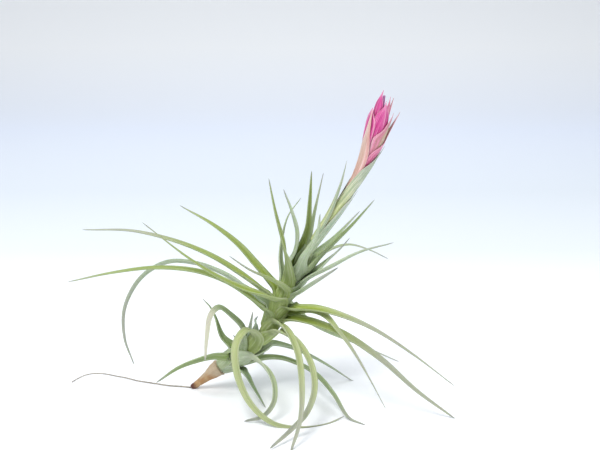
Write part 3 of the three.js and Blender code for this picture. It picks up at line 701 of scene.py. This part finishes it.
class PlantSizes(bpy.types.PropertyGroup):
    """Sizes of the plant's skins and of the camera's lens, in millimetres."""
    leaf_thickness: bpy.props.FloatVectorProperty(
        name="Leaf thickness", size=2, default=(1.0, 0.5), min=0.1,
        description="A blade's thickness at its sheath and at its tip, in millimetres")
    bract_thickness: bpy.props.FloatProperty(
        name="Bract thickness", default=0.5, min=0.1,
        description="A bract's thickness along its middle, in millimetres")
    lens: bpy.props.FloatProperty(
        name="Lens", default=65, min=10,
        description="Focal length of the studio camera, in millimetres")


def colour_property(name, description, hex_colour):
    """A colour that the user can change, with its default written as RRGGBB."""
    return bpy.props.FloatVectorProperty(
        name=name, description=description, subtype="COLOR", size=3, min=0, max=1,
        default=linear(hex_colour))


class PlantColours(bpy.types.PropertyGroup):
    """Colours of the plant and of its studio."""
    young_top: colour_property("Young leaf", "Channelled face of a young leaf", "91A150")
    young_under: colour_property("Young leaf back", "Frosted back of a young leaf", "A0AC7C")
    mature_top: colour_property("Mature leaf", "Channelled face of a mature leaf", "82955E")
    mature_under: colour_property("Mature leaf back", "Frosted back of a mature leaf", "9BA97E")
    silver_top: colour_property("Silver leaf", "Channelled face of a silvery leaf", "94A87E")
    silver_under: colour_property("Silver leaf back", "Frosted back of a silvery leaf", "ADBA9E")
    sheath: colour_property("Sheath", "Leaf sheath where it clasps the stem", "B0C074")
    magenta: colour_property("Magenta bract", "Bracts at the top of the spike", "CB3C88")
    rose: colour_property("Rose bract", "Bracts below the magenta ones", "D27398")
    salmon: colour_property("Salmon bract", "Bracts in the middle of the spike", "D1B3A0")
    petal: colour_property("Petal", "Petals rolled shut in the bud", "A862AC")
    floor: colour_property("Floor", "Pale surface that the plant lies on", "F4F6FA")
    backdrop: colour_property("Backdrop", "Top of the backdrop", "FBFDFF")


def leaf_finishes(colours):
    """The leaves' finishes, by the kind of leaf."""
    sheath, old_sheath = tuple(colours.sheath), linear("ADB994")
    return {
        # Each kind: face, deep, bright foot, back, a darker green for painted shade, sheath and
        # frost
        "young": leaf_finish(
            "young leaf", tuple(colours.young_top), linear("758A3A"), linear("9FB044"),
            tuple(colours.young_under), linear("4C6E38"), sheath, 0.26),
        "mature": leaf_finish(
            "mature leaf", tuple(colours.mature_top), linear("6B8440"), linear("97AB62"),
            tuple(colours.mature_under), linear("4A6347"), old_sheath, 0.45),
        "silver": leaf_finish(
            "silver leaf", tuple(colours.silver_top), linear("7A9064"), linear("9DB083"),
            tuple(colours.silver_under), linear("4A6350"), old_sheath, 0.6),
    }


def wash(*stops):
    """Stops of a colour ramp, their colours as RRGGBB or already in linear values."""
    return [(at, linear(colour) if isinstance(colour, str) else colour) for at, colour in stops]


def bract_finishes(colours):
    """The bracts' finishes, from the foot of the spike to its top."""
    magenta, rose, salmon = tuple(colours.magenta), tuple(colours.rose), tuple(colours.salmon)
    return {
        "silver": bract_finish(
            "silver bract", wash((0, "B4C49C"), (0.5, "A9B9A0"), (1, "B9C4BC")),
            linear("8A9E86"), 0.5),
        "green": bract_finish(
            "green bract", wash((0, "BDC878"), (0.3, "C0C888"), (0.6, "C3CAB0"), (1, "8A9A8C")),
            linear("8C9E7C"), 0.25, linear("8FA286"), -1),
        "salmon": bract_finish(
            "salmon bract", wash((0, "C48F7E"), (0.3, salmon), (0.6, "D8C3B4"), (1, "DECBC6")),
            linear("BC8C80"), 0.25, linear("D8A6A2"), -1),
        "beige": bract_finish(
            "beige bract", wash((0, "D2AFA0"), (0.5, "C9BA9C"), (1, "AC998A")),
            linear("AC8478"), 0.2, rose),
        "rose": bract_finish(
            "rose bract", wash((0, "D9A28E"), (0.4, rose), (1, "DE93B0")), linear("B84A76"), 0.15),
        "magenta": bract_finish(
            "magenta bract", wash((0, "D98AA6"), (0.35, magenta), (0.8, "D2529A"), (1, "E8A0C6")),
            linear("A02468"), 0.1),
    }


class PLANT_OT_leaves(bpy.types.Operator):
    """Grows the channelled leaves round the stem"""
    bl_idname = "plant.leaves"
    bl_label = "Leaves"

    def execute(self, context):
        finishes = leaf_finishes(context.scene.plant_colours)
        for row in LEAVES:
            name, kind, shade_and_fade, drying = row[0], row[4], row[7], row[8]
            sections = leaf_sections(row, context.scene.plant_sizes)
            shape = bmesh.new()
            add_channel(shape, sections, LEAF_RING, (seed_of(name), shade_and_fade, drying))
            piece = name.replace("leaf", "blade")
            add_piece(piece, shape, name, finishes[kind])
        return {"FINISHED"}


class PLANT_OT_bracts(bpy.types.Operator):
    """Grows the overlapping bracts of the flower spike"""
    bl_idname = "plant.bracts"
    bl_label = "Bracts"

    def execute(self, context):
        finishes = bract_finishes(context.scene.plant_colours)
        for row in BRACTS:
            name, kind = row[0], row[-1]
            sections = bract_sections(row, context.scene.plant_sizes)
            shape = bmesh.new()
            add_channel(shape, sections, BRACT_RING, (seed_of(name), 0, 1))
            piece = name.replace("bract", "scale")
            add_piece(piece, shape, name, finishes[kind])
        return {"FINISHED"}


def add_tube(shape, around, stations, radius):
    """A closed tube along the stem; its ends are drawn in to points on the axis."""
    rings = len(stations) - 1

    def place(turn, ring):
        reach = 0 if ring in (0, rings) else radius(turn, ring)
        return beside_stem(stations[ring], math.degrees(turn), reach)

    def marks(turn, ring):
        grown, length = stations[ring] - stations[0], stations[rings] - stations[0]
        return (math.cos(turn), math.sin(turn), ring / rings), (grown, length, 0), UNWORN

    add_skin(shape, around, rings, place, marks)


def spaced(low, high, count):
    """Stations from low to high, each end given twice so that it can be closed."""
    inner = [blend(low, high, k / count) for k in range(count + 1)]
    return [low, *inner, high]


class PLANT_OT_stem(bpy.types.Operator):
    """Grows the stem, its bare old foot and the wiry root"""
    bl_idname = "plant.stem"
    bl_label = "Stem, foot and root"

    STEM_POINTS, STEM_RINGS = 20, 90
    FOOT_POINTS, FOOT_RINGS = 64, 72
    ROOT_POINTS, ROOT_RINGS = 10, 150
    RIDGES, KNOTS = 0.1, 0.07  # relief of the foot, in shares of its radius
    SCARS = 0.14  # depth of its leaf scars
    SWAY = 0.5  # how far the root strays from its path
    KINKS = 0.25  # how unevenly thick it is

    def execute(self, context):
        self.core()
        self.foot()
        self.root()
        return {"FINISHED"}

    def core(self):
        """The stem itself, slimmer than the ring that the leaves clasp."""
        stations = spaced(*STEM_SPAN, self.STEM_RINGS)

        def radius(turn, ring):
            return table_at(CORE_RADIUS, stations[ring]) - STEM_SLACK

        shape = bmesh.new()
        add_tube(shape, self.STEM_POINTS, stations, radius)
        pith = bract_finish("stem core", wash((0, "B9BE93"), (1, "C3C79C")), linear("9AA778"), 0.2)
        add_piece("stem_core", shape, "stem", pith)

    def foot(self):
        """The bare foot: slender, ridged lengthwise, with the faint scars of old leaves."""
        stations = spaced(*FOOT_SPAN, self.FOOT_RINGS)

        def radius(turn, ring):
            station = stations[ring]
            # Ridges are long and narrow, knots short and broad; scars wind round the foot
            side = Vector((math.cos(turn), math.sin(turn), 0))
            ridge = noise.noise(side * 2.6 + Vector((0, 0, station * 0.09)))
            knot = noise.noise(side * 1.3 + Vector((0, 0, station * 0.45)))
            scar = max(0.0, math.sin(station * 1.9 + 2 * turn + 2 * knot)) ** 6
            swollen = 1 + self.RIDGES * ridge + self.KNOTS * knot
            return eased_table(FOOT_RADIUS, station, 1) * swollen - self.SCARS * scar

        shape = bmesh.new()
        add_tube(shape, self.FOOT_POINTS, stations, radius)
        wood = wood_finish("old stem", ("AA8258", "B99B74", "80563A", "57322C", "BCAC94"))
        add_piece("old_foot", shape, "stem_base", wood)

    def root(self):
        """The wiry root, thinner towards its end, with slight kinks."""
        line = GrownLine(ROOT_PATH)
        rings = self.ROOT_RINGS

        def place(turn, ring):
            along = line.length * min(max(ring - 1, 0), rings - 2) / (rings - 2)
            tangent = line.tangent(min(max(along, line.MARGIN), line.length - line.MARGIN))
            up = Vector((0, 0, 1))
            up = (up - tangent * up.dot(tangent)).normalized()
            side = tangent.cross(up)
            kinked = 1 + self.KINKS * noise.noise(Vector((along, 0, 1)))
            reach = ROOT_RADIUS * blend(1, ROOT_END, along / line.length) * kinked
            reach = 0 if ring in (0, rings) else reach
            sway = noise.noise(Vector((along * 0.14, 3.7, 0)))
            centre = line.point(along) + side * sway * self.SWAY
            return centre + up * (reach * math.cos(turn)) + side * (reach * math.sin(turn))

        def marks(turn, ring):
            spot = (math.cos(turn), math.sin(turn), ring / rings)
            return spot, (line.length * ring / rings, line.length, 0), UNWORN

        shape = bmesh.new()
        add_skin(shape, self.ROOT_POINTS, rings, place, marks)
        thread = thread_finish("wiry root", "8C8478", "A79E90")
        add_piece("root_thread", shape, "wiry_root", thread)


class PLANT_OT_bud(bpy.types.Operator):
    """Rolls the petals that show at the top of the spike"""
    bl_idname = "plant.bud"
    bl_label = "Petals"

    POINTS, RINGS = 30, 50
    PETALS = 3  # their rolled edges show as so many ridges
    ROLL = 0.1  # share that a ridge adds to the radius
    TWIST = 0.25  # how fast the ridges wind round the bud

    def execute(self, context):
        stations = spaced(*BUD_SPAN, self.RINGS)

        def radius(turn, ring):
            roll = 1 + self.ROLL * math.cos(self.PETALS * turn + stations[ring] * self.TWIST)
            return eased_table(BUD_RADIUS, stations[ring], 1) * roll

        shape = bmesh.new()
        add_tube(shape, self.POINTS, stations, radius)
        violet = tuple(context.scene.plant_colours.petal)
        shades = wash((0, "8A5CC0"), (0.6, violet), (1, "B868A8"))
        petal = bract_finish("petal", shades, linear("7A3C8C"), 0)
        add_piece("rolled_petals", shape, "petal_bud", petal)
        return {"FINISHED"}


class PLANT_OT_studio(bpy.types.Operator):
    """Sets the pale floor and backdrop, the soft lights and the camera"""
    bl_idname = "plant.studio"
    bl_label = "Studio"

    # Metres and degrees
    TARGET = Vector((56.1, 0, 89.3)) * MM
    DISTANCE = 0.55
    ELEVATION = 15
    FLOOR_HALF_WIDTH = 4
    FLOOR_FRONT = -6
    BACKDROP_START = 0.9
    BACKDROP_RADIUS = 0.9
    BACKDROP_STEPS = 24
    BACKDROP_RISE = 2
    DAYLIGHT = (0.91, 0.945, 1.0, 1)
    DAYLIGHT_STRENGTH = 0.52
    # Each lamp: its name, its place, its size, its power and its colour
    LAMPS = (
        ("key", (-0.35, -0.45, 1.1), 0.6, 10.5, (1, 0.99, 0.965)),
        ("fill", (0.8, -0.8, 0.5), 0.8, 4, (1, 0.99, 0.97)),
        ("back", (0.1, 0.6, 1.0), 0.9, 4, (0.96, 0.98, 1)),
    )

    def execute(self, context):
        self.backdrop(context)
        self.lights(context)
        self.camera(context)
        return {"FINISHED"}

    def backdrop(self, context):
        """One pale sheet: a flat floor that curves up into a backdrop."""
        colours = context.scene.plant_colours
        start, radius = self.BACKDROP_START, self.BACKDROP_RADIUS
        shape = bmesh.new()
        front = [
            shape.verts.new((side * self.FLOOR_HALF_WIDTH, self.FLOOR_FRONT, 0)) for side in (-1, 1)
        ]
        floor = bmesh.ops.extrude_edge_only(shape, edges=[shape.edges.new(front)])["geom"]
        moved = [v for v in floor if isinstance(v, bmesh.types.BMVert)]
        bmesh.ops.translate(shape, verts=moved, vec=(0, start - self.FLOOR_FRONT, 0))
        last = [e for e in floor if isinstance(e, bmesh.types.BMEdge)]
        bmesh.ops.spin(shape, geom=[*last, *moved], angle=math.pi / 2, steps=self.BACKDROP_STEPS,
                       axis=(1, 0, 0), cent=(0, start, radius))
        top = [v for v in shape.verts if v.co.z > radius * 0.999]
        upper = [e for e in shape.edges if all(v in top for v in e.verts)]
        wall = bmesh.ops.extrude_edge_only(shape, edges=upper)["geom"]
        raised = [v for v in wall if isinstance(v, bmesh.types.BMVert)]
        bmesh.ops.translate(shape, verts=raised, vec=(0, 0, self.BACKDROP_RISE))
        bmesh.ops.recalc_face_normals(shape, faces=shape.faces)
        for face in shape.faces:
            face.smooth = True
        mesh = bpy.data.meshes.new("studio_sheet")
        shape.to_mesh(mesh)
        shape.free()
        f = Finish("studio paper")
        _, depth, height = f.split(f.place())
        away = (depth + height * 1.5) / 1.3
        # Painted falloff of light: greyer blue on the floor behind the plant, whiter up the curve
        paper_and_falloff = wash((0.1, tuple(colours.floor)), (0.2, "E1E7EC"), (0.35, "DBE2EA"),
                     (0.6, "E4EBF8"), (1, tuple(colours.backdrop)))
        mesh.materials.append(f.finish({
            "Base Color": f.stops(away, *paper_and_falloff), "Roughness": 0.9, "Specular IOR Level": 0.1,
        }))
        sheet = bpy.data.objects.new("studio_sheet", mesh)
        context.scene.collection.objects.link(sheet)

    def lights(self, context):
        """Even daylight from all round, and three soft lamps aimed at the plant."""
        world = bpy.data.worlds.new("studio")
        world.use_nodes = True
        daylight = world.node_tree.nodes["Background"].inputs
        daylight["Color"].default_value = self.DAYLIGHT
        daylight["Strength"].default_value = self.DAYLIGHT_STRENGTH
        context.scene.world = world
        for name, place, size, power, colour in self.LAMPS:
            lamp = bpy.data.lights.new(name, "AREA")
            lamp.shape, lamp.size, lamp.energy, lamp.color = "DISK", size, power, colour
            holder = bpy.data.objects.new(name, lamp)
            holder.location = place
            aim = self.TARGET - Vector(place)
            holder.rotation_euler = aim.to_track_quat("-Z", "Y").to_euler()
            context.scene.collection.objects.link(holder)

    def camera(self, context):
        """A camera in front of the plant that looks a little down on it."""
        data = bpy.data.cameras.new("studio camera")
        data.lens = context.scene.plant_sizes.lens
        data.clip_start, data.clip_end = 0.01, 20
        tilt = math.radians(self.ELEVATION)
        camera = bpy.data.objects.new("studio camera", data)
        back = Vector((0, -math.cos(tilt), math.sin(tilt)))
        camera.location = self.TARGET + back * self.DISTANCE
        camera.rotation_euler = (math.pi / 2 - tilt, 0, 0)
        context.scene.collection.objects.link(camera)
        context.scene.camera = camera
        context.scene.view_settings.view_transform = "Standard"


class PLANT_PT_sidebar(bpy.types.Panel):
    """Lists the plant's steps and settings"""
    bl_label = "Air Plant"
    bl_idname = "PLANT_PT_sidebar"
    bl_space_type = "VIEW_3D"
    bl_region_type = "UI"
    bl_category = "Air Plant"

    def draw(self, context):
        for operator in OPERATORS:
            self.layout.operator(operator.bl_idname)
        for group in (context.scene.plant_sizes, context.scene.plant_colours):
            box = self.layout.box()
            for key in group.__annotations__:
                box.prop(group, key)


GROUPS = (PlantSizes, PlantColours)
OPERATORS = (PLANT_OT_leaves, PLANT_OT_bracts, PLANT_OT_stem, PLANT_OT_bud, PLANT_OT_studio)


def register():
    for cls in (*GROUPS, *OPERATORS, PLANT_PT_sidebar):
        bpy.utils.register_class(cls)
    bpy.types.Scene.plant_sizes = bpy.props.PointerProperty(type=PlantSizes)
    bpy.types.Scene.plant_colours = bpy.props.PointerProperty(type=PlantColours)


def unregister():
    del bpy.types.Scene.plant_colours
    del bpy.types.Scene.plant_sizes
    for cls in reversed((*GROUPS, *OPERATORS, PLANT_PT_sidebar)):
        bpy.utils.unregister_class(cls)


def main():
    """Makes the plant and its studio."""
    register()
    bpy.ops.plant.leaves()
    bpy.ops.plant.bracts()
    bpy.ops.plant.stem()
    bpy.ops.plant.bud()
    bpy.ops.plant.studio()


if __name__ == "__main__":
    main()
